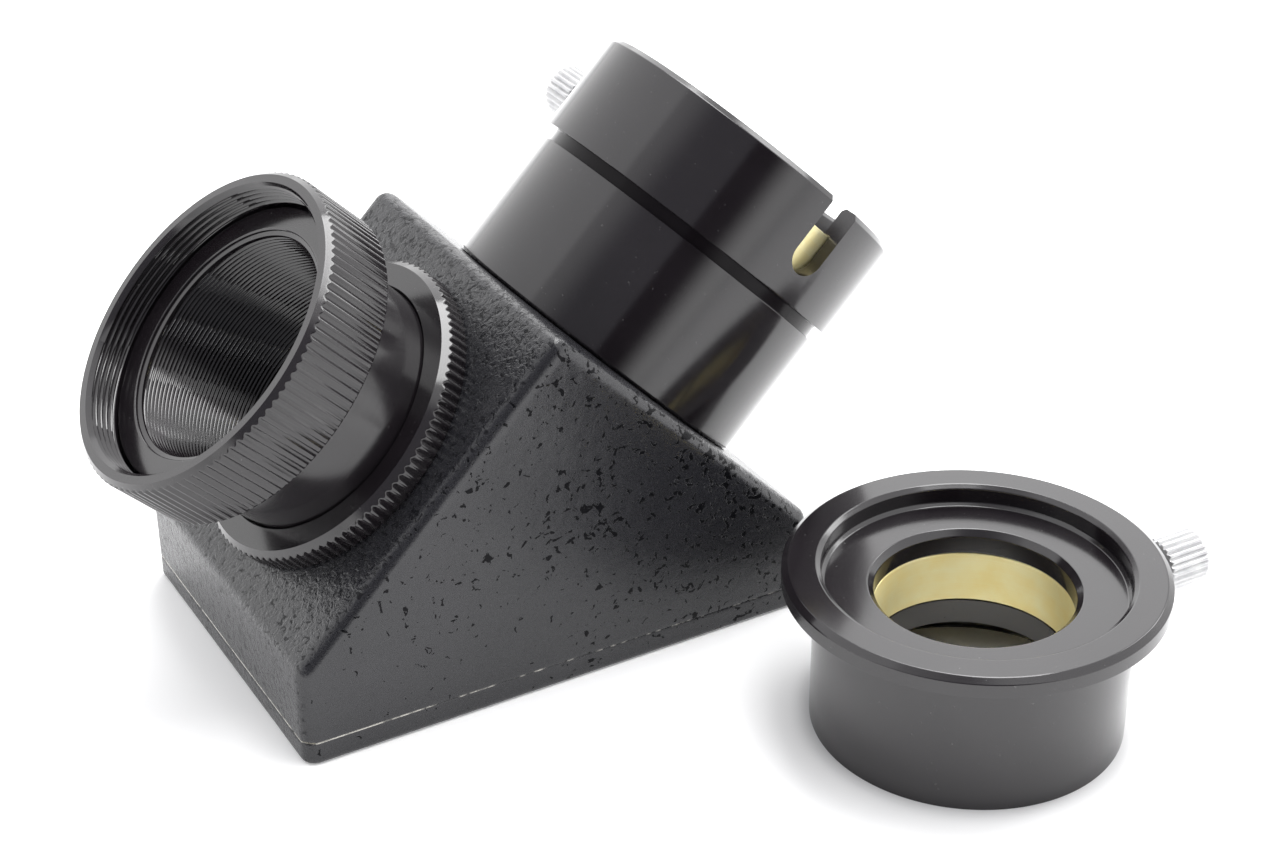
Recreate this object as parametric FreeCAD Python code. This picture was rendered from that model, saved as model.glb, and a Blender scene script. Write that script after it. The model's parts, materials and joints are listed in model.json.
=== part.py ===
import FreeCAD, Part
import math
import os

# Two-inch mirror star diagonal with its removable 1.25-inch eyepiece adapter.
# Millimetres. The origin is the centre of the cover plate's bottom face, +Z is up, +X points
# towards the eyepiece side and -X towards the telescope side. Both optical axes lie in the XZ
# plane at 45 degrees and cross on the mirror's front surface.

os.makedirs("parts", exist_ok=True)
Vector = FreeCAD.Vector

# --- driving dimensions -------------------------------------------------------------------
INCH = 25.4
PORT_FACE_LENGTH = 66.4        # length of each 45-degree port face
BODY_WIDTH = 66.2
END_HEIGHT = 17.4              # height of the upright end faces, and of the optical crossing
PLATE_THICKNESS = 4.2
EDGE_ROUND = 2.5
SIDE_WALL = 3.2
END_WALL = 3.5
PORT_WALL = 4.5

MIRROR_LENGTH = 70.0
MIRROR_WIDTH = 50.0
MIRROR_THICKNESS = 12.0
MIRROR_CORNER = 9.0
PAD_RADIUS = 4.0

SCREW_INSET = 7.0              # cover screws, from the outer faces
SCREW_SHANK_RADIUS = 1.5
SCREW_HEAD_RADIUS = 2.9
SCREW_HEAD_HEIGHT = 1.6
SCREW_LENGTH = 12.0
BOSS_RADIUS = 4.2
BOSS_TOP = 16.0

NECK_RADIUS = 21.9
NECK_BORE_RADIUS = 19.5
NECK_FLANGE_RADIUS = 24.3
NECK_FLANGE_THICKNESS = 3.0
NECK_FRONT = 59.5              # distances along a port's axis, from the crossing
LOCK_RING_RADIUS = 27.2
LOCK_RING_THICKNESS = 4.8
COUPLING_RADIUS = 28.0
COUPLING_FRONT = 65.1
COUPLING_LENGTH = 13.0
SCT_THREAD_MINOR_RADIUS = 24.85  # 2 inch - 24 TPI, inner crest
SCT_MOUTH_RADIUS = 25.6

HOLDER_TUBE_RADIUS = 28.4
HOLDER_COLLAR_RADIUS = 29.6
HOLDER_GROOVE_RADIUS = 27.7
HOLDER_GROOVE_WIDTH = 2.15
COLLAR_START = 58.95
HOLDER_RIM = 77.1
HOLDER_SPIGOT_RADIUS = 26.4
HOLDER_BORE_RADIUS = INCH + 0.05
HOLDER_SHOULDER = 41.0
HOLDER_LIGHT_RADIUS = 23.4
SLOT_WIDTH = 6.5
SLOT_DEPTH = 13.5

BAND_HEIGHT = 9.0              # compression bands
BAND_THICKNESS = 1.15
BAND_PLAY = 0.3
BAND_SETBACK = 0.015           # of a band's inner face from the bore it lies in
BAND_SPLIT = 3.0
HOLDER_BAND_CENTRE = 67.2
HOLDER_SCREW_TURNS_BACK = 2    # from snug against the band

THREAD_RADIUS = 2.0            # M4 thumbscrews
THREAD_PITCH = 0.7
STEM_REACH = 16.4              # from the knob's inner face to the tip
STEM_IN_KNOB = 5.0
KNOB_RADIUS = 4.9
KNOB_LENGTH = 8.8
TIP_GAP = 0.15
RUNNING_GAP = 0.06

ADAPTER_CENTRE = Vector(51.6, -72.7, 0)
ADAPTER_HEIGHT = 28.0
ADAPTER_BARREL_RADIUS = INCH - 0.02
ADAPTER_BARREL_LAND = 13.2     # top of the full-size wall, just below the thumbscrew
ADAPTER_BARREL_TAPER = 0.04    # from there up to the flange, so that it can't bind
ADAPTER_FLANGE_RADIUS = 30.6
ADAPTER_FLANGE_THICKNESS = 3.2
ADAPTER_RECESS_RADIUS = 24.4
ADAPTER_RECESS_DEPTH = 3.6
ADAPTER_BORE_RADIUS = 1.25 * INCH / 2 + 0.055
ADAPTER_BAND_CENTRE = 15.7
ADAPTER_SCREW_TURNS_BACK = 5
FILTER_THREAD_RADIUS = 23.6
FILTER_THREAD_DEPTH = 6.6

# --- derived geometry ---------------------------------------------------------------------
HALF_LENGTH = PORT_FACE_LENGTH / math.sqrt(2)
HALF_WIDTH = BODY_WIDTH / 2
APEX_HEIGHT = END_HEIGHT + HALF_LENGTH
PORT_FACE = PORT_FACE_LENGTH / 2       # from the crossing to a port face
CROSSING = Vector(0, 0, END_HEIGHT)
TELESCOPE_AXIS = Vector(-1, 0, 1).normalize()
EYEPIECE_AXIS = Vector(1, 0, 1).normalize()
UP = Vector(0, 0, 1)
MIRROR_BOTTOM = END_HEIGHT - MIRROR_THICKNESS


def turned(outline, base, axis):
    """A solid of revolution: outline holds (radius, station) corners along the axis."""
    corners = [Vector(radius, 0, station) for radius, station in outline]
    face = Part.Face(Part.makePolygon(corners + corners[:1]))
    solid = face.revolve(Vector(0, 0, 0), UP, 360)
    solid.Placement = FreeCAD.Placement(base, FreeCAD.Rotation(UP, axis))
    return solid


def prism(outline, half_width):
    """A solid with its outline in the XZ plane, extruded evenly to both sides in Y."""
    corners = [Vector(x, -half_width, z) for x, z in outline]
    face = Part.Face(Part.makePolygon(corners + corners[:1]))
    return face.extrude(Vector(0, 2 * half_width, 0))


def block(length, width, bottom, top):
    """A box centred on the Z axis."""
    return Part.makeBox(length, width, top - bottom, Vector(-length / 2, -width / 2, bottom))


def corner_places(inset_x, inset_y):
    """The four points at the corners of the cover, set in from its edges."""
    x = HALF_LENGTH - inset_x
    y = HALF_WIDTH - inset_y
    return [Vector(sx * x, sy * y, 0) for sx, sy in ((-1, -1), (1, -1), (1, 1), (-1, 1))]


def upright_edges(solid):
    """The edges of a block that run along Z."""
    return [edge for edge in solid.Edges
            if abs(edge.Vertexes[0].X - edge.Vertexes[-1].X) < 1e-6
            and abs(edge.Vertexes[0].Y - edge.Vertexes[-1].Y) < 1e-6]


def make_housing():
    """Die-cast right-angle prism, open below, with two port holes and four screw bosses."""
    outer = prism([(-HALF_LENGTH, PLATE_THICKNESS), (-HALF_LENGTH, END_HEIGHT), (0, APEX_HEIGHT),
                   (HALF_LENGTH, END_HEIGHT), (HALF_LENGTH, PLATE_THICKNESS)], HALF_WIDTH)
    rounded = [edge for edge in outer.Edges if edge.BoundBox.ZMax > PLATE_THICKNESS + 1]
    outer = outer.makeFillet(EDGE_ROUND, rounded)
    inner_x = HALF_LENGTH - END_WALL
    inner_apex = APEX_HEIGHT - PORT_WALL * math.sqrt(2)
    inner_knee = inner_apex - inner_x
    cavity = prism([(-inner_x, PLATE_THICKNESS - 1), (-inner_x, inner_knee), (0, inner_apex),
                    (inner_x, inner_knee), (inner_x, PLATE_THICKNESS - 1)], HALF_WIDTH - SIDE_WALL)
    shell = outer.cut(cavity)
    bosses = []
    for place in corner_places(SCREW_INSET, SCREW_INSET):
        bosses.append(Part.makeCylinder(BOSS_RADIUS, BOSS_TOP - PLATE_THICKNESS,
                                        place + Vector(0, 0, PLATE_THICKNESS)))
    shell = shell.multiFuse([boss.common(outer) for boss in bosses])
    holes = [Part.makeCylinder(NECK_RADIUS + 0.02, 20, CROSSING + TELESCOPE_AXIS * 24, TELESCOPE_AXIS),
             Part.makeCylinder(HOLDER_SPIGOT_RADIUS + 0.02, 20, CROSSING + EYEPIECE_AXIS * 24,
                               EYEPIECE_AXIS)]
    for place in corner_places(SCREW_INSET, SCREW_INSET):
        holes.append(Part.makeCylinder(SCREW_SHANK_RADIUS + 0.02, SCREW_LENGTH + 1, place))
    return shell.cut(Part.makeCompound(holes))


def make_cover_plate():
    """Flat plate that closes the housing and carries the mirror."""
    plate = block(2 * HALF_LENGTH, BODY_WIDTH, 0, PLATE_THICKNESS)
    plate = plate.makeFillet(EDGE_ROUND, upright_edges(plate))
    foot = [edge for edge in plate.Edges if edge.BoundBox.ZMax < 1e-6]
    plate = plate.makeFillet(1.0, foot)
    for place in corner_places(SCREW_INSET, SCREW_INSET):
        mouth = Part.makeCylinder(SCREW_HEAD_RADIUS + 0.02, 1.3, place - Vector(0, 0, 1))
        plate = plate.cut(cover_screw(place, 0.02).fuse(mouth))
    return plate


def cover_screw(place, gap=0.0):
    """Countersunk cover screw, its head just inside the plate's bottom face."""
    shank = SCREW_SHANK_RADIUS + gap
    head = SCREW_HEAD_RADIUS + gap
    return turned([(0, 0.2 - gap), (head, 0.2 - gap), (head, 0.4), (shank, 0.4 + SCREW_HEAD_HEIGHT),
                   (shank, SCREW_LENGTH), (0, SCREW_LENGTH)], place, UP)


def make_cover_screw(place):
    """Cover screw with a hexagon socket in its head."""
    corners = [place + Vector(math.cos(math.radians(60 * i)), math.sin(math.radians(60 * i)), 0)
               for i in range(6)]
    socket = Part.Face(Part.makePolygon(corners + corners[:1])).extrude(Vector(0, 0, 1.5))
    return cover_screw(place).cut(socket)


def make_mirror():
    """Glass block with clipped corners; its top face is the reflecting surface."""
    glass = block(MIRROR_LENGTH, MIRROR_WIDTH, MIRROR_BOTTOM, END_HEIGHT)
    return glass.makeChamfer(MIRROR_CORNER, upright_edges(glass))


def make_mirror_pad(sx, sy):
    """Soft bonding pad between the cover plate and the mirror."""
    centre = Vector(sx * MIRROR_LENGTH / 3.4, sy * MIRROR_WIDTH / 3.4, PLATE_THICKNESS)
    return Part.makeCylinder(PAD_RADIUS, MIRROR_BOTTOM - PLATE_THICKNESS, centre)


def make_port_neck():
    """Flanged tube on the telescope side; its tail is screwed into the housing."""
    flange_back = NECK_FRONT - NECK_FLANGE_THICKNESS
    outline = [(NECK_BORE_RADIUS, PORT_FACE - PORT_WALL + 0.3), (NECK_RADIUS, PORT_FACE - PORT_WALL + 0.3),
               (NECK_RADIUS, flange_back), (NECK_FLANGE_RADIUS, flange_back),
               (NECK_FLANGE_RADIUS, NECK_FRONT - 0.3), (NECK_FLANGE_RADIUS - 0.3, NECK_FRONT),
               (NECK_BORE_RADIUS + 0.6, NECK_FRONT), (NECK_BORE_RADIUS, NECK_FRONT - 0.6)]
    return turned(outline, CROSSING, TELESCOPE_AXIS)


def make_lock_ring():
    """Thin knurled ring on the neck's thread that locks it against the housing."""
    front = PORT_FACE + LOCK_RING_THICKNESS
    bore = NECK_RADIUS + 0.1
    outline = [(bore, PORT_FACE), (LOCK_RING_RADIUS - 0.3, PORT_FACE), (LOCK_RING_RADIUS, PORT_FACE + 0.3),
               (LOCK_RING_RADIUS, front - 0.7), (LOCK_RING_RADIUS - 0.9, front), (bore, front)]
    return turned(outline, CROSSING, TELESCOPE_AXIS)


def make_coupling_ring():
    """Captive knurled ring with the telescope's thread; a lip behind the neck's flange holds it."""
    rear = COUPLING_FRONT - COUPLING_LENGTH
    lip_front = NECK_FRONT - NECK_FLANGE_THICKNESS - 0.3
    lip_radius = NECK_RADIUS + 0.4
    relief_radius = SCT_THREAD_MINOR_RADIUS + 0.35
    thread_end = NECK_FRONT + 0.15
    outline = [(lip_radius, rear), (COUPLING_RADIUS - 0.4, rear), (COUPLING_RADIUS, rear + 0.4),
               (COUPLING_RADIUS, COUPLING_FRONT - 0.8), (COUPLING_RADIUS - 1.0, COUPLING_FRONT),
               (SCT_MOUTH_RADIUS, COUPLING_FRONT), (SCT_THREAD_MINOR_RADIUS, COUPLING_FRONT - 0.6),
               (SCT_THREAD_MINOR_RADIUS, thread_end), (relief_radius, thread_end),
               (relief_radius, lip_front), (lip_radius, lip_front)]
    return turned(outline, CROSSING, TELESCOPE_AXIS)


def make_eyepiece_holder():
    """Two-inch eyepiece socket: tube, undercut, clamp collar, screw hole and open slot."""
    tail = PORT_FACE - PORT_WALL + 0.3
    groove_start = COLLAR_START - HOLDER_GROOVE_WIDTH
    band_low = HOLDER_BAND_CENTRE - BAND_HEIGHT / 2 - 0.15
    band_high = HOLDER_BAND_CENTRE + BAND_HEIGHT / 2 + 0.15
    band_groove = band_radius(HOLDER_BORE_RADIUS) + BAND_PLAY
    outline = [(HOLDER_LIGHT_RADIUS, tail), (HOLDER_SPIGOT_RADIUS, tail), (HOLDER_SPIGOT_RADIUS, PORT_FACE),
               (HOLDER_TUBE_RADIUS - 0.5, PORT_FACE), (HOLDER_TUBE_RADIUS, PORT_FACE + 0.5),
               (HOLDER_TUBE_RADIUS, groove_start), (HOLDER_GROOVE_RADIUS, groove_start),
               (HOLDER_GROOVE_RADIUS, COLLAR_START), (HOLDER_COLLAR_RADIUS - 0.2, COLLAR_START),
               (HOLDER_COLLAR_RADIUS, COLLAR_START + 0.2), (HOLDER_COLLAR_RADIUS, HOLDER_RIM - 0.9),
               (HOLDER_COLLAR_RADIUS - 0.9, HOLDER_RIM), (HOLDER_BORE_RADIUS + 0.7, HOLDER_RIM),
               (HOLDER_BORE_RADIUS, HOLDER_RIM - 0.7), (HOLDER_BORE_RADIUS, band_high),
               (band_groove, band_high), (band_groove, band_low), (HOLDER_BORE_RADIUS, band_low),
               (HOLDER_BORE_RADIUS, HOLDER_SHOULDER), (HOLDER_LIGHT_RADIUS, HOLDER_SHOULDER)]
    holder = turned(outline, CROSSING, EYEPIECE_AXIS)
    screw_place = CROSSING + EYEPIECE_AXIS * HOLDER_BAND_CENTRE
    screw_hole = Part.makeCylinder(THREAD_RADIUS + RUNNING_GAP, 40, screw_place, Vector(0, 1, 0))
    return holder.cut(screw_hole).cut(rim_slot())


def rim_slot():
    """Cutter for the round-bottomed slot that lets the adapter's thumbscrew pass."""
    half = SLOT_WIDTH / 2
    bottom = HOLDER_RIM - SLOT_DEPTH + half
    across = TELESCOPE_AXIS * half
    outward = Vector(0, -40, 0)
    low = CROSSING + EYEPIECE_AXIS * bottom
    high = CROSSING + EYEPIECE_AXIS * (HOLDER_RIM + 2)
    corners = [low - across, low + across, high + across, high - across]
    straight = Part.Face(Part.makePolygon(corners + corners[:1])).extrude(outward)
    return straight.fuse(Part.makeCylinder(half, 40, low, Vector(0, -1, 0)))


def band_radius(bore_radius):
    """Outer radius of a compression band that sits just outside a bore."""
    return bore_radius + BAND_SETBACK + BAND_THICKNESS


def make_band(bore_radius, base, axis, split_direction):
    """Brass compression band: a thin ring, split so that the thumbscrew can close it."""
    outer = band_radius(bore_radius)
    half = BAND_HEIGHT / 2
    ring = turned([(outer - BAND_THICKNESS, -half), (outer, -half), (outer, half),
                   (outer - BAND_THICKNESS, half)], base, axis)
    across = axis.cross(split_direction).normalize() * (BAND_SPLIT / 2)
    along = axis * (half + 1)
    corners = [base - across - along, base + across - along, base + across + along, base - across + along]
    gap = Part.Face(Part.makePolygon(corners + corners[:1])).extrude(split_direction * (outer + 5))
    return ring.cut(gap)


def make_stem(tip, outward):
    """Steel threaded stem of a thumbscrew, from its tip to its end inside the knob."""
    length = STEM_REACH + STEM_IN_KNOB
    outline = [(0, 0), (THREAD_RADIUS - 0.4, 0), (THREAD_RADIUS, 0.4), (THREAD_RADIUS, length), (0, length)]
    return turned(outline, tip, outward)


def make_knob(tip, outward):
    """Fluted aluminium head of a thumbscrew, with a blind hole for its stem."""
    start = STEM_REACH
    end = STEM_REACH + KNOB_LENGTH
    hole = THREAD_RADIUS + RUNNING_GAP
    hole_end = STEM_REACH + STEM_IN_KNOB + 0.1
    outline = [(hole, start), (KNOB_RADIUS - 0.5, start), (KNOB_RADIUS, start + 0.5),
               (KNOB_RADIUS, end - 1.0), (KNOB_RADIUS - 1.0, end), (0, end), (0, hole_end),
               (hole, hole_end)]
    return turned(outline, tip, outward)


def make_adapter_body():
    """Flanged sleeve: 2-inch barrel outside, 1.25-inch bore inside, filter thread below."""
    top = ADAPTER_HEIGHT
    flange_bottom = top - ADAPTER_FLANGE_THICKNESS
    floor = top - ADAPTER_RECESS_DEPTH
    band_low = ADAPTER_BAND_CENTRE - BAND_HEIGHT / 2 - 0.15
    band_high = ADAPTER_BAND_CENTRE + BAND_HEIGHT / 2 + 0.15
    band_groove = band_radius(ADAPTER_BORE_RADIUS) + BAND_PLAY
    outline = [(FILTER_THREAD_RADIUS + 0.4, 0), (ADAPTER_BARREL_RADIUS - 0.3, 0),
               (ADAPTER_BARREL_RADIUS, 0.3), (ADAPTER_BARREL_RADIUS, ADAPTER_BARREL_LAND),
               (ADAPTER_BARREL_RADIUS - ADAPTER_BARREL_TAPER, flange_bottom),
               (ADAPTER_FLANGE_RADIUS - 0.2, flange_bottom), (ADAPTER_FLANGE_RADIUS, flange_bottom + 0.2),
               (ADAPTER_FLANGE_RADIUS, top - 0.8), (ADAPTER_FLANGE_RADIUS - 1.0, top),
               (ADAPTER_RECESS_RADIUS + 0.8, top), (ADAPTER_RECESS_RADIUS, top - 0.6),
               (ADAPTER_RECESS_RADIUS, floor + 0.9), (ADAPTER_RECESS_RADIUS - 1.2, floor),
               (ADAPTER_BORE_RADIUS + 1.0, floor), (ADAPTER_BORE_RADIUS, floor - 1.0),
               (ADAPTER_BORE_RADIUS, band_high), (band_groove, band_high), (band_groove, band_low),
               (ADAPTER_BORE_RADIUS, band_low), (ADAPTER_BORE_RADIUS, FILTER_THREAD_DEPTH),
               (FILTER_THREAD_RADIUS, FILTER_THREAD_DEPTH), (FILTER_THREAD_RADIUS, 0.4)]
    body = turned(outline, ADAPTER_CENTRE, UP)
    screw_place = ADAPTER_CENTRE + UP * ADAPTER_BAND_CENTRE
    return body.cut(Part.makeCylinder(THREAD_RADIUS + RUNNING_GAP, 40, screw_place, Vector(1, 0, 0)))


def save(node, shape):
    """Write one node and report its volume."""
    shape.exportStep("parts/" + node + ".step")
    box = shape.BoundBox
    print(node, "valid" if shape.isValid() else "INVALID", len(shape.Solids), round(shape.Volume, 1),
          [round(v, 2) for v in (box.XMin, box.YMin, box.ZMin, box.XMax, box.YMax, box.ZMax)])


def build_diagonal():
    """The mirror box with its two ports."""
    save("housing", make_housing())
    save("cover_plate", make_cover_plate())
    for number, place in enumerate(corner_places(SCREW_INSET, SCREW_INSET), 1):
        save("cover_screw_%d" % number, make_cover_screw(place))
    save("mirror", make_mirror())
    for number, (sx, sy) in enumerate(((-1, -1), (1, -1), (1, 1), (-1, 1)), 1):
        save("mirror_pad_%d" % number, make_mirror_pad(sx, sy))
    save("port_neck", make_port_neck())
    save("lock_ring", make_lock_ring())
    save("coupling_ring", make_coupling_ring())
    save("eyepiece_holder", make_eyepiece_holder())
    band_base = CROSSING + EYEPIECE_AXIS * HOLDER_BAND_CENTRE
    save("holder_band", make_band(HOLDER_BORE_RADIUS, band_base, EYEPIECE_AXIS, TELESCOPE_AXIS))
    outward = Vector(0, 1, 0)
    backed_off = HOLDER_SCREW_TURNS_BACK * THREAD_PITCH
    tip = band_base + outward * (band_radius(HOLDER_BORE_RADIUS) + TIP_GAP + backed_off)
    save("holder_screw_stem", make_stem(tip, outward))
    save("holder_screw_knob", make_knob(tip, outward))


def build_adapter():
    """The loose 1.25-inch adapter, standing beside the diagonal."""
    save("adapter_body", make_adapter_body())
    band_base = ADAPTER_CENTRE + UP * ADAPTER_BAND_CENTRE
    save("adapter_band", make_band(ADAPTER_BORE_RADIUS, band_base, UP, Vector(0, -1, 0)))
    outward = Vector(1, 0, 0)
    backed_off = ADAPTER_SCREW_TURNS_BACK * THREAD_PITCH
    tip = band_base + outward * (band_radius(ADAPTER_BORE_RADIUS) + TIP_GAP + backed_off)
    save("adapter_screw_stem", make_stem(tip, outward))
    save("adapter_screw_knob", make_knob(tip, outward))


build_diagonal()
build_adapter()
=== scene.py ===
import json
import math

import bmesh
import bpy
from mathutils import Matrix, Vector, noise


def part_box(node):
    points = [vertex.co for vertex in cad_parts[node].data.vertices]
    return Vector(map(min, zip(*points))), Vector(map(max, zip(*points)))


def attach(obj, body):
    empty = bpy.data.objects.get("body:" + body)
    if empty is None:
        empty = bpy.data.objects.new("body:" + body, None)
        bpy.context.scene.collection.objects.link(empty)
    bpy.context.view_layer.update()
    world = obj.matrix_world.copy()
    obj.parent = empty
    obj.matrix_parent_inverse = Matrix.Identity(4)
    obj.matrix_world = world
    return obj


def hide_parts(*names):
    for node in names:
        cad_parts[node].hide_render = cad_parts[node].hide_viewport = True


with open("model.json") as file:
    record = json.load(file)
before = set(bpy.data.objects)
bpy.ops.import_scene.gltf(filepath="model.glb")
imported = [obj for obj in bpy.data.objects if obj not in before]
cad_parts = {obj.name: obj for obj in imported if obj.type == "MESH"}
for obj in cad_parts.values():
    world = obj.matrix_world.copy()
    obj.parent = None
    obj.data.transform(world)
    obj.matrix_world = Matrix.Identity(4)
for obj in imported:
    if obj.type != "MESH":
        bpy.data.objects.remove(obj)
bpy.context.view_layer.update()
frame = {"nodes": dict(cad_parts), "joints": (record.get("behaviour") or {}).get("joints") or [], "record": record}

# The looks of a two-inch mirror star diagonal and its loose eyepiece adapter. Lengths are in
# millimetres until a mesh is made. A station is a distance along a turned piece's own axis.
MM = 0.001
FULL_TURN = 2 * math.pi
UP = Vector((0, 0, 1))
RIGHTWARDS = Vector((1, 0, 0))
BACKWARDS = Vector((0, 1, 0))

MOUNTS = {mount["name"]: mount for mount in frame["record"]["mounts"]}
TELESCOPE_AXIS = Vector(MOUNTS["telescope_thread"]["axis"])
EYEPIECE_AXIS = Vector(MOUNTS["eyepiece_socket"]["axis"])
CROSSING = Vector((0, 0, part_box("mirror")[1].z / MM))
ADAPTER_BASE = Vector((*MOUNTS["adapter_socket"]["pos_m"][:2], 0)) / MM


# --- measuring the frame ------------------------------------------------------------------
def place(origin, axis):
    """The matrix that puts a turned piece's own Z along an axis, from an origin in mm."""
    return Matrix.Translation(origin) @ UP.rotation_difference(axis).to_matrix().to_4x4()


TELESCOPE = place(CROSSING, TELESCOPE_AXIS)
EYEPIECE = place(CROSSING, EYEPIECE_AXIS)
ADAPTER = place(ADAPTER_BASE, UP)


def measure(node, where):
    """(first station, last station, smallest radius, largest radius) of a CAD node, in mm."""
    inverse = where.inverted()
    own = [inverse @ (vertex.co / MM) for vertex in frame["nodes"][node].data.vertices]
    stations = [point.z for point in own]
    radii = [math.hypot(point.x, point.y) for point in own]
    return min(stations), max(stations), min(radii), max(radii)


# --- outlines -----------------------------------------------------------------------------
def rounded(outline, radius, closed=True, cuts=3):
    """The outline with each real corner eased by up to that radius, and a point close by on either
    side of it, so that the shading of the faces between corners stays flat."""
    points = [Vector(point) for point in outline]
    count = len(points)
    eased = []
    for index, corner in enumerate(points):
        if not closed and index in (0, count - 1):
            eased.append(corner)
            continue
        before = points[index - 1] - corner
        after = points[(index + 1) % count] - corner
        if before.normalized().dot(after.normalized()) < -0.97:
            eased.append(corner)
            continue
        reach = min(radius, 0.45 * before.length, 0.45 * after.length)
        start = corner + before.normalized() * reach
        end = corner + after.normalized() * reach
        eased.append(corner + before.normalized() * min(1.6 * reach, 0.48 * before.length))
        for step in range(cuts + 1):
            t = step / cuts
            eased.append(start * (1 - t) ** 2 + corner * (2 * t * (1 - t)) + end * t ** 2)
        eased.append(corner + after.normalized() * min(1.6 * reach, 0.48 * after.length))
    return [(point.x, point.y) for point in eased]


def stretch(start, end, spacing):
    """Evenly spaced points from one (radius, station) to another, both ends included."""
    start, end = Vector(start), Vector(end)
    count = max(1, round((end - start).length / spacing))
    return [tuple(start.lerp(end, step / count)) for step in range(count + 1)]


def thread_wave(angle, station, pitch):
    """0 at the crest of a helical thread and 1 at its root, with a small flat at both."""
    phase = (station / pitch - angle / FULL_TURN) % 1.0
    return min(1.0, max(0.0, (abs(2 * phase - 1) - 0.12) / 0.76))


def fade(station, start, end, run):
    """0 outside a stretch of stations and 1 inside it, easing over a short run at both ends."""
    return min(1.0, max(0.0, min(station - start, end - station) / run))


def ridge_wave(angle, count):
    """0 on the crest and 1 in the groove of straight knurls or flutes round a turned piece."""
    return (0.5 - 0.5 * math.cos(count * angle)) ** 1.6


# --- meshes -------------------------------------------------------------------------------
def new_mesh(name, vertices, faces, sharp_angle=32):
    """A mesh in metres from corners in mm, smooth except across sharp edges."""
    mesh = bpy.data.meshes.new(name)
    mesh.from_pydata([vertex * MM for vertex in vertices], [], faces)
    shape = bmesh.new()
    shape.from_mesh(mesh)
    bmesh.ops.recalc_face_normals(shape, faces=shape.faces)
    shape.to_mesh(mesh)
    shape.free()
    smooth(mesh, sharp_angle)
    return mesh


def smooth(mesh, sharp_angle=32):
    """Smooth shading, kept crisp across edges sharper than the angle."""
    mesh.shade_smooth()
    mesh.set_sharp_from_angle(angle=math.radians(sharp_angle))


def turn(name, outline, where, steps=240, shape=None, solid=False, sweep=(0.0, FULL_TURN)):
    """A turned mesh. The outline is a closed loop of (radius, station), or for a solid piece an
    open line that starts and ends in a flat face on the axis. shape(angle, radius, station) gives
    the radius where the surface isn't plainly round. A sweep short of a full turn has flat ends."""
    whole = sweep[1] - sweep[0] > FULL_TURN - 1e-6
    slices = steps if whole else steps + 1
    rows = len(outline)
    vertices = []
    for index in range(slices):
        angle = sweep[0] + (sweep[1] - sweep[0]) * index / steps
        cos, sin = math.cos(angle), math.sin(angle)
        for radius, station in outline:
            across = shape(angle, radius, station) if shape else radius
            vertices.append(where @ Vector((across * cos, across * sin, station)))
    faces = []
    for index in range(steps):
        here, there = index * rows, (index + 1) % slices * rows
        for row in range(rows - 1 if solid else rows):
            above = (row + 1) % rows
            faces.append((here + row, there + row, there + above, here + above))
    if solid:
        faces.append(tuple(index * rows for index in range(slices)))
        faces.append(tuple(index * rows + rows - 1 for index in range(slices)))
    if not whole:
        faces.append(tuple(range(rows)))
        faces.append(tuple(range(steps * rows, (steps + 1) * rows)))
    return new_mesh(name, vertices, faces)


def bar(name, outline, where, length):
    """A straight mesh: a flat outline in a place's XY plane, run along its Z."""
    count = len(outline)
    vertices = [where @ Vector((x, y, z)) for z in (0, length) for x, y in outline]
    faces = [(i, (i + 1) % count, count + (i + 1) % count, count + i) for i in range(count)]
    faces += [tuple(range(count)), tuple(range(count, 2 * count))]
    return new_mesh(name, vertices, faces)


def evaluated(mesh, *modifiers):
    """The mesh after modifiers, each given as (kind, settings)."""
    holder = bpy.data.objects.new("workpiece", mesh)
    bpy.context.scene.collection.objects.link(holder)
    for kind, settings in modifiers:
        modifier = holder.modifiers.new(kind, kind)
        for key, value in settings.items():
            setattr(modifier, key, value)
    graph = bpy.context.evaluated_depsgraph_get()
    result = bpy.data.meshes.new_from_object(holder.evaluated_get(graph), depsgraph=graph)
    bpy.data.objects.remove(holder)
    return result


def carved(mesh, *cutters):
    """The mesh with the cutters' shapes taken out of it."""
    tools = []
    for cutter in cutters:
        tool = bpy.data.objects.new("cutter", cutter)
        bpy.context.scene.collection.objects.link(tool)
        tools.append(tool)
    steps = [("BOOLEAN", {"object": tool, "operation": "DIFFERENCE", "solver": "EXACT"})
             for tool in tools]
    result = evaluated(mesh, *steps)
    for tool in tools:
        bpy.data.objects.remove(tool)
    smooth(result)
    return result


def piece(mesh, material, body, slot, *nodes):
    """Put a finished mesh in the scene as a piece of one body that stands for its CAD nodes."""
    thing = bpy.data.objects.new(mesh.name, mesh)
    bpy.context.scene.collection.objects.link(thing)
    mesh.materials.clear()
    mesh.materials.append(material)
    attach(thing, body)
    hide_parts(*nodes)
    return thing


def keep_node(node, material, edge):
    """Give a CAD node that stays its material and slightly eased edges."""
    thing = frame["nodes"][node]
    thing.data.materials.clear()
    thing.data.materials.append(material)
    weld = thing.modifiers.new("weld", "WELD")
    weld.merge_threshold = 1e-6
    ease = thing.modifiers.new("ease", "BEVEL")
    ease.width = edge * MM
    ease.segments = 2
    ease.limit_method = "ANGLE"
    ease.angle_limit = math.radians(40)


# --- node materials -----------------------------------------------------------------------
PIT_EDGE = 0.012                # of the noise's own range, from a pit's rim to its floor


def add(tree, kind, inputs=None, **settings):
    """A new node, with plain values or links for its inputs."""
    node = tree.nodes.new(kind)
    for key, value in settings.items():
        setattr(node, key, value)
    for socket, value in (inputs or {}).items():
        if isinstance(value, bpy.types.NodeSocket):
            tree.links.new(value, node.inputs[socket])
        else:
            node.inputs[socket].default_value = value
    return node


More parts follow.
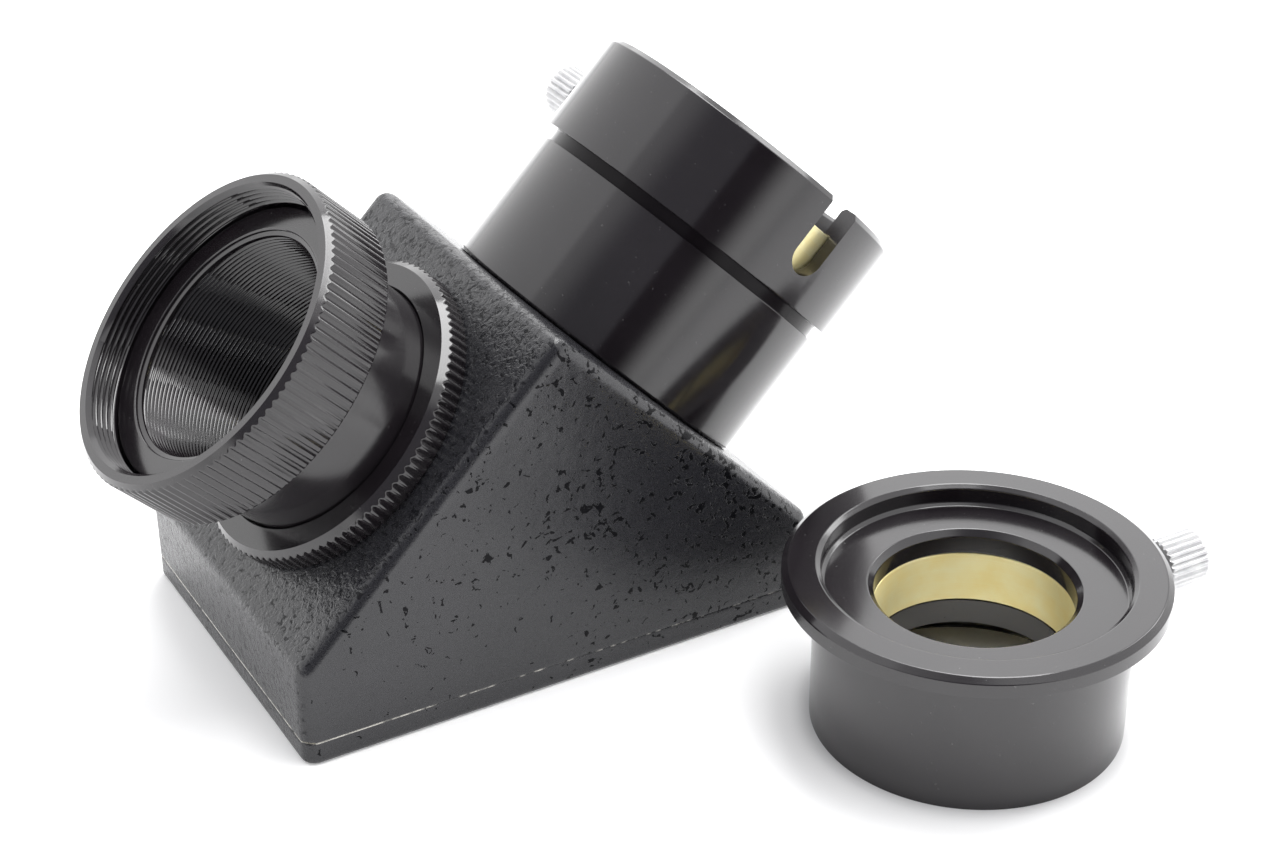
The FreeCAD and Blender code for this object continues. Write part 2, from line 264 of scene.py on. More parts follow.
def new_material(name, **values):
    """A material with its Principled shader's own sockets set: (material, tree, shader)."""
    material = bpy.data.materials.new(name)
    material.use_nodes = True
    shader = material.node_tree.nodes["Principled BSDF"]
    for socket, value in values.items():
        shader.inputs[socket.replace("_", " ")].default_value = value
    return material, material.node_tree, shader


def calc(tree, operation, first, second=0.0):
    """A Math node's result."""
    return add(tree, "ShaderNodeMath", {0: first, 1: second}, operation=operation).outputs[0]


def vector_calc(tree, operation, inputs, output=0):
    """A Vector Math node's result."""
    return add(tree, "ShaderNodeVectorMath", inputs, operation=operation).outputs[output]


def span(tree, value, low, high, to_low=0.0, to_high=1.0):
    """A value mapped smoothly from one range to another, and held at the ends."""
    inputs = {"Value": value, "From Min": low, "From Max": high, "To Min": to_low, "To Max": to_high}
    return add(tree, "ShaderNodeMapRange", inputs, interpolation_type="SMOOTHSTEP").outputs[0]


def colours(tree, factor, low, high):
    """A colour between two, by a factor."""
    mix = add(tree, "ShaderNodeMix", data_type="RGBA")
    tree.links.new(factor, mix.inputs["Factor"])
    for socket, value in ((mix.inputs[6], low), (mix.inputs[7], high)):
        if isinstance(value, bpy.types.NodeSocket):
            tree.links.new(value, socket)
        else:
            socket.default_value = (*value, 1.0)
    return mix.outputs[2]


def millimetres(tree):
    """The surface point at rest, in mm."""
    source = add(tree, "ShaderNodeTexCoord").outputs["Object"]
    return vector_calc(tree, "SCALE", {0: source, "Scale": 1 / MM})


def grain(tree, point, scale, detail=2.0, distortion=0.0):
    """Noise with that many features per mm, round 0.5."""
    inputs = {"Vector": point, "Scale": scale, "Detail": detail, "Distortion": distortion}
    return add(tree, "ShaderNodeTexNoise", inputs).outputs["Fac"]


def bump(tree, shader, height, depth):
    """Relief whose height, 0 to 1, stands for a depth in mm."""
    relief = add(tree, "ShaderNodeBump", {"Height": height, "Strength": 1.0, "Distance": depth * MM})
    tree.links.new(relief.outputs["Normal"], shader.inputs["Normal"])


def round_an_axis(tree, where):
    """The surface point as (section, tangent): its station and radius, and the way round the axis."""
    origin, axis = where.translation, (where.to_3x3() @ UP).normalized()
    point = millimetres(tree)
    centred = vector_calc(tree, "SUBTRACT", {0: point, 1: origin})
    station = vector_calc(tree, "DOT_PRODUCT", {0: centred, 1: axis}, "Value")
    along = vector_calc(tree, "SCALE", {0: axis, "Scale": station})
    outward = vector_calc(tree, "SUBTRACT", {0: centred, 1: along})
    radius = vector_calc(tree, "LENGTH", {0: outward}, "Value")
    section = add(tree, "ShaderNodeCombineXYZ", {"X": station, "Y": radius}).outputs[0]
    way_round = vector_calc(tree, "CROSS_PRODUCT", {0: axis, 1: outward})
    tangent = add(tree, "ShaderNodeVectorTransform", {0: way_round}, vector_type="VECTOR",
                  convert_from="OBJECT", convert_to="WORLD").outputs[0]
    return section, tangent


def brushed_round(tree, shader, where, per_mm, anisotropy):
    """Give a shader the streaked gloss of a turned surface; returns its lathe lines as noise."""
    section, tangent = round_an_axis(tree, where)
    tree.links.new(tangent, shader.inputs["Tangent"])
    shader.inputs["Anisotropic"].default_value = anisotropy
    shader.inputs["Anisotropic Rotation"].default_value = 0.25
    return grain(tree, section, per_mm, 3.0)


def anodised_black(name, where):
    """Black anodised aluminium, turned about an axis: purplish black with fine turning lines."""
    material, tree, shader = new_material(name, Metallic=0.0, Specular_IOR_Level=0.70)
    lines = brushed_round(tree, shader, where, 4.0, 0.6)
    point = millimetres(tree)
    cloud = grain(tree, point, 0.12, 3.0)
    fine = grain(tree, point, 6.0, 2.0)
    speck = span(tree, grain(tree, point, 1.9, 1.0), 0.75, 0.80)
    base = colours(tree, cloud, (0.0062, 0.0050, 0.0062), (0.0120, 0.0098, 0.0118))
    tree.links.new(colours(tree, calc(tree, "MULTIPLY", speck, 0.3), base, (0.16, 0.16, 0.155)),
                   shader.inputs["Base Color"])
    gloss = calc(tree, "ADD", calc(tree, "MULTIPLY", lines, 0.5), calc(tree, "MULTIPLY", fine, 0.5))
    tree.links.new(span(tree, gloss, 0.3, 0.7, 0.12, 0.18), shader.inputs["Roughness"])
    relief = calc(tree, "ADD", calc(tree, "MULTIPLY", lines, 0.6), calc(tree, "MULTIPLY", fine, 0.4))
    bump(tree, shader, relief, 0.0012)
    return material


def dull_between(material, where, low, high):
    """Take most of the gloss off a material between two stations, which makes that band darker."""
    edge, dulled = 0.05, 0.15
    tree = material.node_tree
    gloss = tree.nodes["Principled BSDF"].inputs["Specular IOR Level"]
    section = round_an_axis(tree, where)[0]
    station = add(tree, "ShaderNodeSeparateXYZ", {0: section}).outputs["X"]
    past_low = span(tree, station, low - edge, low + edge)
    past_high = span(tree, station, high - edge, high + edge)
    inside = calc(tree, "SUBTRACT", past_low, past_high)
    level = gloss.default_value
    tree.links.new(span(tree, inside, 0.0, 1.0, level, dulled * level), gloss)


def pits(tree, point, per_mm, level):
    """Irregular pits: 1 where noise rises over a level, 0 outside them, with narrow edges."""
    rise = calc(tree, "SUBTRACT", grain(tree, point, per_mm, 3.0, 0.6), level)
    return span(tree, rise, 0.0, PIT_EDGE)


def wrinkle_enamel(name, seam_height):
    """Black textured enamel on a die casting: wrinkled on the port and end faces, smoother with irregular pits on
    the sides.
    Painted shade darkens the pits and wrinkle creases and takes most of their gloss, and a painted highlight,
    a bright metallic line, runs along the seam above the cover plate."""
    material, tree, shader = new_material(name, Metallic=0.0)
    point = millimetres(tree)
    where = add(tree, "ShaderNodeSeparateXYZ", {0: point})
    facing = add(tree, "ShaderNodeSeparateXYZ", {0: add(tree, "ShaderNodeTexCoord").outputs["Normal"]})
    side = span(tree, calc(tree, "ABSOLUTE", facing.outputs["Y"]), 0.45, 0.9)

    patches = span(tree, grain(tree, point, 0.055, 2.0), 0.36, 0.64, -0.5, 0.5)
    crowding = calc(tree, "ADD", patches, span(tree, where.outputs["X"], -34.0, 34.0, -0.8, 0.6))
    crowding = calc(tree, "ADD", crowding, span(tree, where.outputs["Z"], 8.0, 44.0, -0.6, 0.4))
    small_level = calc(tree, "SUBTRACT", 0.624, calc(tree, "MULTIPLY", crowding, 0.050))
    small = pits(tree, point, 0.75, small_level)
    large_level = calc(tree, "SUBTRACT", 0.660, calc(tree, "MULTIPLY", crowding, 0.070))
    large = pits(tree, point, 0.42, large_level)
    holes = calc(tree, "MULTIPLY", calc(tree, "MAXIMUM", small, large),
                 span(tree, side, 0.0, 1.0, 0.55, 1.0))

    wrinkles = grain(tree, point, 0.9, 3.0, 1.0)
    fine = grain(tree, point, 4.5, 2.0)
    cracks = span(tree, wrinkles, 0.45, 0.34)
    crack_share = span(tree, side, 0.0, 1.0, 0.75, 0.10)
    # painted shade: the pits and wrinkle creases are darkened almost to black and lose most of their gloss
    hollow_shade = calc(tree, "MAXIMUM", holes, calc(tree, "MULTIPLY", cracks, crack_share))

    # painted highlight: a bright metallic line along the seam, broken up by noise and stronger towards the
    # front-left corner
    from_seam = calc(tree, "ABSOLUTE", calc(tree, "SUBTRACT", where.outputs["Z"], seam_height))
    near_seam = span(tree, from_seam, 0.17, 0.06)
    corner = span(tree, where.outputs["X"], -46.0, -8.0, 0.22, -0.02)
    highlight_breakup = calc(tree, "ADD", grain(tree, point, 0.45, 6.0), corner)
    seam_highlight = calc(tree, "MULTIPLY", near_seam, span(tree, highlight_breakup, 0.46, 0.70))

    base = colours(tree, grain(tree, point, 0.10, 3.0), (0.009, 0.009, 0.0115), (0.019, 0.019, 0.022))
    dark = colours(tree, hollow_shade, base, (0.003, 0.003, 0.004))
    tree.links.new(colours(tree, seam_highlight, dark, (0.62, 0.60, 0.55)), shader.inputs["Base Color"])
    tree.links.new(calc(tree, "MULTIPLY", seam_highlight, 0.8), shader.inputs["Metallic"])
    tree.links.new(span(tree, hollow_shade, 0.0, 1.0, 0.55, 0.10), shader.inputs["Specular IOR Level"])
    tree.links.new(span(tree, fine, 0.3, 0.7, 0.20, 0.32), shader.inputs["Roughness"])
    relief = calc(tree, "ADD", calc(tree, "MULTIPLY", wrinkles, span(tree, side, 0.0, 1.0, 0.65, 0.10)),
                  calc(tree, "MULTIPLY", fine, 0.06))
    bump(tree, shader, calc(tree, "SUBTRACT", relief, calc(tree, "MULTIPLY", holes, 0.35)), 0.28)
    return material


def brushed_brass(name, where):
    """Brass brushed round the ring, a little darker in the deeper lines."""
    material, tree, shader = new_material(name, Metallic=0.75)
    lines = brushed_round(tree, shader, where, 16.0, 0.7)
    blotch = grain(tree, millimetres(tree), 0.25, 3.0)
    tone = calc(tree, "ADD", calc(tree, "MULTIPLY", lines, 0.6), calc(tree, "MULTIPLY", blotch, 0.4))
    tree.links.new(colours(tree, span(tree, tone, 0.35, 0.65), (0.97, 0.84, 0.40), (1.0, 0.94, 0.60)),
                   shader.inputs["Base Color"])
    tree.links.new(span(tree, tone, 0.3, 0.7, 0.56, 0.44), shader.inputs["Roughness"])
    bump(tree, shader, lines, 0.0015)
    return material


def bright_metal(name, where, dark, light, rough):
    """Bright turned metal, as on the thumbscrews."""
    material, tree, shader = new_material(name, Metallic=0.9)
    lines = brushed_round(tree, shader, where, 6.0, 0.4)
    blotch = grain(tree, millimetres(tree), 0.4, 3.0)
    tone = calc(tree, "ADD", calc(tree, "MULTIPLY", lines, 0.5), calc(tree, "MULTIPLY", blotch, 0.5))
    tree.links.new(colours(tree, span(tree, tone, 0.35, 0.65), dark, light), shader.inputs["Base Color"])
    tree.links.new(span(tree, tone, 0.3, 0.7, rough + 0.08, rough - 0.06), shader.inputs["Roughness"])
    bump(tree, shader, lines, 0.004)
    return material


def coated_glass(name):
    """Front-surface mirror: bright coating on the top face, ground greenish glass elsewhere."""
    material, tree, shader = new_material(name)
    facing = add(tree, "ShaderNodeSeparateXYZ", {0: add(tree, "ShaderNodeTexCoord").outputs["Normal"]})
    coated = span(tree, facing.outputs["Z"], 0.95, 0.99)
    ground = grain(tree, millimetres(tree), 4.0, 3.0)
    glass = colours(tree, ground, (0.30, 0.42, 0.37), (0.46, 0.58, 0.52))
    tree.links.new(colours(tree, coated, glass, (0.92, 0.93, 0.94)), shader.inputs["Base Color"])
    tree.links.new(coated, shader.inputs["Metallic"])
    dull = span(tree, ground, 0.3, 0.7, 0.40, 0.62)
    roughness = calc(tree, "MULTIPLY", dull, calc(tree, "SUBTRACT", 1.03, coated))
    tree.links.new(roughness, shader.inputs["Roughness"])
    return material


def mottled(name, dark, light, rough, metallic, per_mm):
    """A plain finish with small changes of tone and gloss, for small hidden pieces."""
    material, tree, shader = new_material(name, Metallic=metallic)
    tone = grain(tree, millimetres(tree), per_mm, 4.0)
    tree.links.new(colours(tree, span(tree, tone, 0.35, 0.65), dark, light), shader.inputs["Base Color"])
    tree.links.new(span(tree, tone, 0.3, 0.7, rough - 0.06, rough + 0.08), shader.inputs["Roughness"])
    bump(tree, shader, tone, 0.02)
    return material


# --- the mirror box -----------------------------------------------------------------------
CASTING_VOXEL = 0.6


def unevenness(point):
    """How far a painted casting's skin lies below its true shape at a point, 0 to 0.16 mm."""
    swell = 0.5 + 0.5 * noise.noise(point / 5.0)
    ripple = 0.5 + 0.5 * noise.noise(point / 1.5)
    crater = max(0.0, 1.0 - noise.voronoi(point / 2.6)[0][0] / 0.30)
    crowding = min(1.0, max(0.0, 0.5 + 2.2 * noise.noise(point / 22.0)))
    return 0.03 * swell + 0.04 * ripple + 0.09 * crater * crowding


def make_casting(name, node, material, slot):
    """A CAD node's shape as an even skin, with the uneven surface of a painted casting."""
    exact = frame["nodes"][node]
    skin = evaluated(exact.data.copy(),
                     ("REMESH", {"mode": "VOXEL", "voxel_size": CASTING_VOXEL * MM}),
                     ("SHRINKWRAP", {"target": exact, "wrap_method": "NEAREST_SURFACEPOINT"}))
    skin.name = name
    normals = [normal.vector.copy() for normal in skin.vertex_normals]
    for vertex, normal in zip(skin.vertices, normals):
        vertex.co -= normal * (unevenness(vertex.co / MM) * MM)
    skin.update()
    smooth(skin, 50)
    piece(skin, material, "diagonal", slot, node)


def make_mirror_box():
    """Housing, cover plate, its screws, the mirror and its pads."""
    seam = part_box("cover_plate")[1].z / MM
    enamel = wrinkle_enamel("wrinkle_enamel_black", seam)
    make_casting("housing_casting", "housing", enamel, "wrinkle_enamel")
    make_casting("cover_plate_painted", "cover_plate", enamel, "plate_enamel")
    blackened = mottled("black_oxide_steel", (0.02, 0.02, 0.022), (0.07, 0.07, 0.075), 0.38, 0.9, 0.8)
    silicone = mottled("cured_silicone", (0.55, 0.54, 0.50), (0.72, 0.71, 0.67), 0.55, 0.0, 0.5)
    for number in range(1, 5):
        keep_node("cover_screw_%d" % number, blackened, 0.12)
        keep_node("mirror_pad_%d" % number, silicone, 0.35)
    keep_node("mirror", coated_glass("front_surface_mirror"), 0.4)


# --- the telescope side -------------------------------------------------------------------
GLARE_PITCH = 0.75
GLARE_DEPTH = 0.35
COUPLING_KNURLS = 107
LOCK_KNURLS = 104
STEPS_PER_KNURL = 8
KNURL_DEPTH = 0.38
KNURL_REACH = 1.2               # how far in from the outer radius knurls are cut
SCT_PITCH = 25.4 / 24
SCT_DEPTH = 0.56


def make_port_neck(material):
    """Flanged tube with fine ridges down its bore."""
    tail, front, bore, flange = measure("port_neck", TELESCOPE)
    tube = bore + 2.4
    flange_back = front - 3.0
    ridges_start, ridges_end = tail + 0.8, front - 1.0
    outline = rounded([(bore, tail), (tube, tail), (tube, flange_back), (flange, flange_back),
                       (flange, front), (bore + 0.7, front)], 0.3)
    outline += stretch((bore, front - 0.7), (bore, tail + 0.4), GLARE_PITCH / 7)

    def ridged(angle, radius, station):
        if radius > bore + 1e-4:
            return radius
        depth = thread_wave(angle, station, GLARE_PITCH) * fade(station, ridges_start, ridges_end, 0.5)
        return radius + GLARE_DEPTH * depth

    mesh = turn("port_neck_tube", outline, TELESCOPE, 200, ridged)
    piece(mesh, material, "diagonal", "black_anodised", "port_neck")


def knurled_rim(outer, count):
    """A shape for turn() that cuts straight knurls into everything near the outer radius."""
    def shape(angle, radius, _station):
        if radius <= outer - KNURL_REACH:
            return radius
        return min(radius, outer - KNURL_DEPTH * ridge_wave(angle, count))
    return shape


def make_lock_ring(material):
    """Thin knurled ring with a chamfered front edge."""
    back, front, bore, outer = measure("lock_ring", TELESCOPE)
    chamfer = 1.2
    outline = [(bore, back), (outer - 0.3, back), (outer, back + 0.3), (outer, front - chamfer)]
    outline += stretch((outer - 0.1, front - chamfer + 0.1), (outer - chamfer, front), 0.12)
    outline += [(bore + 0.3, front), (bore, front - 0.3)]
    rim = knurled_rim(outer, LOCK_KNURLS)
    mesh = turn("lock_ring_knurled", outline, TELESCOPE, LOCK_KNURLS * STEPS_PER_KNURL, rim)
    piece(mesh, material, "lock_ring", "black_anodised", "lock_ring")


def make_coupling_ring(material):
    """Knurled captive ring with the telescope's thread inside it."""
    rear, front, lip, outer = measure("coupling_ring", TELESCOPE)
    minor = MOUNTS["telescope_thread"]["dims"]["r_mm"]
    lip_front, thread_end, relief = rear + 4.1, front - 5.45, minor + 0.35
    outline = [(lip + 0.3, rear), (outer - 0.4, rear), (outer, rear + 0.4), (outer, front - 1.0)]
    outline += stretch((outer - 0.1, front - 0.9), (outer - 1.0, front), 0.12)
    outline += [(minor + 0.75, front)]
    outline += stretch((minor + 0.05, front - 0.62), (minor, thread_end), SCT_PITCH / 9)
    outline += [(relief, thread_end - 0.2), (relief, lip_front), (lip, lip_front), (lip, rear + 0.3)]
    rim = knurled_rim(outer, COUPLING_KNURLS)

    def shape(angle, radius, station):
        if abs(radius - minor) < 0.06:
            depth = thread_wave(angle, station, SCT_PITCH) * fade(station, thread_end, front - 0.3, 0.4)
            return radius + SCT_DEPTH * depth
        return rim(angle, radius, station)

    steps = COUPLING_KNURLS * STEPS_PER_KNURL
    mesh = turn("coupling_ring_knurled", outline, TELESCOPE, steps, shape)
    piece(mesh, material, "coupling_ring", "black_anodised", "coupling_ring")


# --- the eyepiece side --------------------------------------------------------------------
BAND_GAP = 0.15
BAND_PLAY = 0.3
SLOT_WIDTH = 6.5
SLOT_DEPTH = 13.5
SCREW_HOLE_RADIUS = 2.06
CUTTER_LENGTH = 40.0
TURNED_EDGE = 0.12              # the easing of a turned part's edges
BAND_SPLIT = 3.0


def round_hole(name, centre, axis, radius, length):
    """A cutter for a round hole from a centre outwards."""
    angles = [FULL_TURN * i / 48 for i in range(48)]
    corners = [(radius * math.cos(angle), radius * math.sin(angle)) for angle in angles]
    return bar(name, corners, place(centre, axis), length)


def rim_slot(rim):
    """A cutter for the round-bottomed slot in the holder's rim, facing -Y."""
    half = SLOT_WIDTH / 2
    bottom = rim - SLOT_DEPTH + half
    corners = [(half * math.cos(math.pi * i / 24), bottom - half * math.sin(math.pi * i / 24))
               for i in range(25)]
    corners += [(-half, rim + 2), (half, rim + 2)]
    forward = Matrix((TELESCOPE_AXIS, EYEPIECE_AXIS, -BACKWARDS)).transposed().to_4x4()
    return bar("slot_cutter", corners, Matrix.Translation(CROSSING) @ forward, CUTTER_LENGTH)


def make_eyepiece_holder(material):
    """Socket for a 2 inch eyepiece: tube, undercut, clamp collar, slot and ridged light hole."""
    tail, rim, light, collar = measure("eyepiece_holder", EYEPIECE)
    band_low, band_high, _, band_outer = measure("holder_band", EYEPIECE)
    bore = MOUNTS["eyepiece_socket"]["dims"]["r_mm"]
    tube, spigot, undercut = collar - 1.2, collar - 3.2, collar - 1.9
    face, shoulder = tail + 4.2, tail + 12.0
    collar_start = rim - 18.15
    undercut_start = collar_start - 2.15
    groove = band_outer + BAND_PLAY
    groove_low, groove_high = band_low - BAND_GAP, band_high + BAND_GAP
    outline = rounded([(light, tail), (spigot, tail), (spigot, face), (tube - 0.5, face),
                       (tube, face + 0.5), (tube, undercut_start), (undercut, undercut_start),
                       (undercut, collar_start), (collar, collar_start), (collar, rim - 0.9),
                       (collar - 0.9, rim), (bore + 0.7, rim), (bore, rim - 0.7),
                       (bore, groove_high), (groove, groove_high), (groove, groove_low),
                       (bore, groove_low), (bore, shoulder), (light + 0.3, shoulder)], TURNED_EDGE)
    outline += stretch((light, shoulder - 0.3), (light, tail + 0.3), GLARE_PITCH / 5)

    def ridged(angle, radius, station):
        if abs(radius - light) > 1e-4:
            return radius
        depth = thread_wave(angle, station, GLARE_PITCH) * fade(station, tail + 0.4, shoulder - 0.4, 0.4)
        return radius + GLARE_DEPTH * depth

    mesh = turn("eyepiece_holder_blank", outline, EYEPIECE, 256, ridged)
    screw = CROSSING + EYEPIECE_AXIS * ((band_low + band_high) / 2)
    hole = round_hole("screw_hole", screw, BACKWARDS, SCREW_HOLE_RADIUS, CUTTER_LENGTH)
    holder = carved(mesh, hole, rim_slot(rim))
    holder.name = "eyepiece_holder_turned"
    dull_between(material, EYEPIECE, undercut_start, collar_start)
    piece(holder, material, "diagonal", "black_anodised", "eyepiece_holder")


def make_band(node, where, split_angle, body, material):
    """Brass compression band with eased edges and a split."""
    low, high, inner, outer = measure(node, where)
    half_split = math.asin(BAND_SPLIT / 2 / outer)
    outline = rounded([(inner, low), (outer, low), (outer, high), (inner, high)], 0.25)
    sweep = (split_angle + half_split, split_angle + FULL_TURN - half_split)
    mesh = turn(node + "_brass", outline, where, 180, sweep=sweep)
    piece(mesh, material, body, "brass_band", node)


# --- the adapter --------------------------------------------------------------------------
FILTER_PITCH = 0.75
FILTER_DEPTH = 0.42


def make_adapter_body(material):
    """Flanged sleeve with a recessed top, a groove for its band and a filter thread below."""
    _, top, bore, flange = measure("adapter_body", ADAPTER)
    band_low, band_high, _, band_outer = measure("adapter_band", ADAPTER)
    barrel = MOUNTS["adapter_barrel"]["dims"]["r_mm"]
    thread = MOUNTS["filter_thread"]["dims"]["r_mm"]
    thread_top, flange_bottom, floor, recess = 6.6, top - 3.2, top - 3.6, flange - 6.2
    groove = band_outer + BAND_PLAY
    groove_low, groove_high = band_low - BAND_GAP, band_high + BAND_GAP
    outline = rounded([(thread + 0.45, 0), (barrel, 0), (barrel, flange_bottom),
                       (flange, flange_bottom), (flange, top - 0.8), (flange - 1.0, top),
                       (recess + 0.8, top), (recess, top - 0.6), (recess, floor + 0.5),
                       (recess - 0.6, floor), (bore + 1.0, floor), (bore, floor - 1.0),
                       (bore, groove_high), (groove, groove_high), (groove, groove_low),
                       (bore, groove_low), (bore, thread_top), (thread, thread_top)], TURNED_EDGE)
    outline += stretch((thread, thread_top - 0.3), (thread, 0.45), FILTER_PITCH / 7)

    def threaded(angle, radius, station):
        if abs(radius - thread) > 1e-4 or station > thread_top - 0.2:
            return radius
        depth = thread_wave(angle, station, FILTER_PITCH) * fade(station, 0.45, thread_top - 0.5, 0.4)
        return radius + FILTER_DEPTH * depth

    mesh = turn("adapter_body_blank", outline, ADAPTER, 256, threaded)
    screw = ADAPTER_BASE + UP * ((band_low + band_high) / 2)
    hole = round_hole("screw_hole", screw, RIGHTWARDS, SCREW_HOLE_RADIUS, CUTTER_LENGTH)
    body = carved(mesh, hole)
    body.name = "adapter_body_turned"
    piece(body, material, "adapter", "black_anodised", "adapter_body")


# --- thumbscrews --------------------------------------------------------------------------
FLUTES = 26
FLUTE_DEPTH = 0.42
SCREW_PITCH = 0.7
SCREW_THREAD_DEPTH = 0.4


def make_thumbscrew(prefix, where, knob_metal, stem_metal):
    """Fluted knob and threaded stem of one thumbscrew, about its own axis."""
    stem, knob = prefix + "_stem", prefix + "_knob"
    tip, end, _, thread = measure(stem, where)
    start, stop, _, outer = measure(knob, where)
    rows = [(thread - 0.45, tip)] + stretch((thread, tip + 0.45), (thread, end), SCREW_PITCH / 8)

    def threaded(angle, radius, station):
        depth = thread_wave(angle, station, SCREW_PITCH) * fade(station, tip + 0.2, start, 0.5)
        return radius - SCREW_THREAD_DEPTH * depth

    mesh = turn(stem + "_threaded", rows, where, 48, threaded, solid=True)
    piece(mesh, stem_metal, stem, "bright_steel", stem)

    bottom = end + 0.1
    hole = thread + 0.06
    dish = stop - 0.15
    outline = rounded([(hole - 0.4, bottom), (hole, bottom - 0.4), (hole, start + 0.3),
                       (hole + 0.3, start), (outer - 1.0, start), (outer, start + 0.6),
                       (outer, stop - 1.0), (outer - 0.9, stop), (outer - 1.9, stop),
                       (outer - 2.1, dish), (0.4, dish)], 0.25, closed=False)

    def fluted(angle, radius, _station):
        return min(radius, outer - FLUTE_DEPTH * ridge_wave(angle, FLUTES))

    mesh = turn(knob + "_fluted", outline, where, FLUTES * 12, fluted, solid=True)
    piece(mesh, knob_metal, knob, "silver_anodised", knob)


# --- the stage ----------------------------------------------------------------------------
VIEW_AZIMUTH = 29.89
VIEW_ELEVATION = 29.82
VIEW_ROLL = -0.19
VIEW_DISTANCE = 430.1
VIEW_TARGET = Vector((32.6, 0.0, 22.8))
LENS = 68.4
FLOOR_HALF = 4.0
FLOOR_PAINTED_GLOW = 0.22               # the sheet's own painted glow, which lightens the shadows on it
PAINTED_GLOW_STARTS = (25.0, 29.0)      # distances from the adapter's base over which the painted glow fades in; there is none inside its bore
LIGHTS_AIM = Vector((0.03, -0.02, 0.03))    # in metres, the middle of the object


def make_camera():
    """The camera, looking at the target from the front and a little above."""
    azimuth, elevation = math.radians(VIEW_AZIMUTH), math.radians(VIEW_ELEVATION)
    back = Vector((-math.sin(azimuth) * math.cos(elevation),
                   -math.cos(azimuth) * math.cos(elevation), math.sin(elevation)))
    camera = bpy.data.objects.new("camera", bpy.data.cameras.new("camera"))
    camera.data.lens = LENS
    camera.data.clip_start = 0.01
    level = back.to_track_quat("Z", "Y").to_matrix().to_4x4()
    turned = level @ Matrix.Rotation(math.radians(VIEW_ROLL), 4, "Z")
    camera.matrix_world = Matrix.Translation((VIEW_TARGET + back * VIEW_DISTANCE) * MM) @ turned
    bpy.context.scene.collection.objects.link(camera)
    bpy.context.scene.camera = camera


def make_floor():
    """White sheet under the object, with a painted glow of its own that lightens its shadows; the glow fades out
    near the adapter's base, so the floor under and inside the adapter stays darker.
    """
    corners = [Vector((x, y, 0)) * FLOOR_HALF / MM for x, y in ((-1, -1), (1, -1), (1, 1), (-1, 1))]
    floor = bpy.data.objects.new("floor", new_mesh("floor", corners, [(0, 1, 2, 3)]))
    bpy.context.scene.collection.objects.link(floor)
    material, tree, shader = new_material("white_sheet", Roughness=0.7, Specular_IOR_Level=0.2)
    point = millimetres(tree)
    tone = colours(tree, grain(tree, point, 0.02, 3.0), (0.86, 0.86, 0.86), (0.89, 0.89, 0.89))
    tree.links.new(tone, shader.inputs["Base Color"])
    tree.links.new(tone, shader.inputs["Emission Color"])
    from_adapter = vector_calc(tree, "DISTANCE", {0: point, 1: ADAPTER_BASE}, "Value")
    # painted glow: the floor gives off light of its own, except near the adapter's base
    painted_glow = span(tree, from_adapter, *PAINTED_GLOW_STARTS, 0.0, FLOOR_PAINTED_GLOW)
    tree.links.new(painted_glow, shader.inputs["Emission Strength"])
    floor.data.materials.append(material)


def add_softbox(name, position, width, length, long_way, watts):
    """A rectangular area light that faces the object, with its long side along a direction.
    Places and sizes are in metres here."""
    light = bpy.data.lights.new(name, "AREA")
    light.shape = "RECTANGLE"
    light.size, light.size_y = width, length
    light.energy = watts
    holder = bpy.data.objects.new(name, light)
    back = (Vector(position) - LIGHTS_AIM).normalized()
    across = Vector(long_way).cross(back).normalized()
    turned = Matrix((across, back.cross(across), back)).transposed().to_4x4()
    holder.matrix_world = Matrix.Translation(position) @ turned
    bpy.context.scene.collection.objects.link(holder)


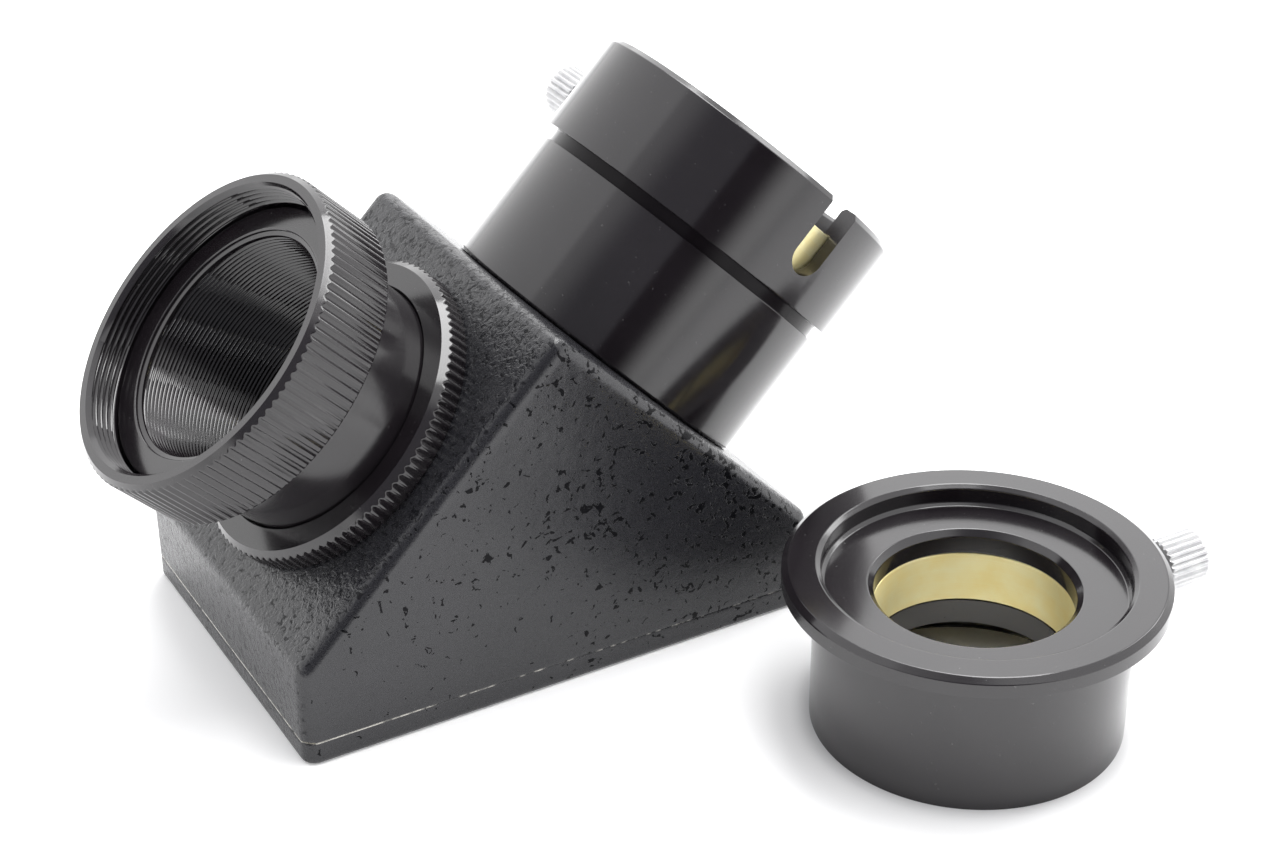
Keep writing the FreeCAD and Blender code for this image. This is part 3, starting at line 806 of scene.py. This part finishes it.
def light_world():
    """Soft white surroundings, with a grey panel on the photographer's side that hangs along the
    eyepiece tube. It fades from its left edge, and its lower part is a black strip."""
    world = bpy.data.worlds.new("studio")
    bpy.context.scene.world = world
    world.use_nodes = True
    tree = world.node_tree
    direction = add(tree, "ShaderNodeTexCoord").outputs["Generated"]
    front, above, along = [vector_calc(tree, "DOT_PRODUCT", {0: direction, 1: way}, "Value")
                           for way in (-BACKWARDS, TELESCOPE_AXIS, EYEPIECE_AXIS)]
    extent = calc(tree, "MULTIPLY", span(tree, front, -0.10, -0.03), span(tree, along, 0.60, 0.48))
    extent = calc(tree, "MULTIPLY", extent, span(tree, along, -0.60, -0.48))
    panel = calc(tree, "MULTIPLY", extent, span(tree, above, 0.04, 0.38))
    grey = colours(tree, span(tree, front, -0.03, 0.42), (1.05, 1.05, 1.07), (0.33, 0.33, 0.36))
    grey = colours(tree, span(tree, above, 0.58, 0.61), (0.003, 0.003, 0.004), grey)
    height = add(tree, "ShaderNodeSeparateXYZ", {0: direction}).outputs["Z"]
    sky = colours(tree, span(tree, height, 0.0, 0.9), (1.9, 1.9, 1.9), (1.6, 1.6, 1.62))
    tree.links.new(colours(tree, panel, sky, grey), tree.nodes["Background"].inputs["Color"])
    tree.nodes["Background"].inputs["Strength"].default_value = 1.0


def make_stage():
    """Camera, floor and lights."""
    make_camera()
    make_floor()
    light_world()
    add_softbox("overhead_softbox", (0.32, 0.12, 1.12), 0.45, 1.10, (0.38, 0.93, 0.0), 13)
    add_softbox("right_softbox", (1.15, 0.05, 0.85), 0.40, 0.60, (0.0, 0.0, 1.0), 4)
    add_softbox("back_softbox", (0.65, 1.05, 0.78), 0.95, 0.95, (0.0, 0.0, 1.0), 3)
    bpy.context.scene.view_settings.view_transform = "Standard"


# --- everything ---------------------------------------------------------------------------
def make_object():
    """Every piece of the diagonal and its adapter."""
    make_mirror_box()
    black = anodised_black("anodised_black_telescope_side", TELESCOPE)
    make_port_neck(black)
    make_lock_ring(black)
    make_coupling_ring(black)
    make_eyepiece_holder(anodised_black("anodised_black_eyepiece_side", EYEPIECE))
    brass = brushed_brass("brass_holder", EYEPIECE)
    make_band("holder_band", EYEPIECE, math.pi, "holder_band", brass)
    make_adapter_body(anodised_black("anodised_black_adapter", ADAPTER))
    brass = brushed_brass("brass_adapter", ADAPTER)
    make_band("adapter_band", ADAPTER, -math.pi / 2, "adapter_band", brass)
    joints = {joint["name"]: joint for joint in frame["joints"]}
    for prefix in ("holder_screw", "adapter_screw"):
        joint = joints[prefix + "_turn"]
        where = place(Vector(joint["pos_m"]) / MM, Vector(joint["axis"]))
        knob_metal = bright_metal(prefix + "_silver", where,
                                  (0.46, 0.46, 0.47), (0.58, 0.58, 0.58), 0.42)
        stem_metal = bright_metal(prefix + "_steel", where,
                                  (0.42, 0.42, 0.43), (0.66, 0.66, 0.67), 0.28)
        make_thumbscrew(prefix, where, knob_metal, stem_metal)


make_object()
make_stage()
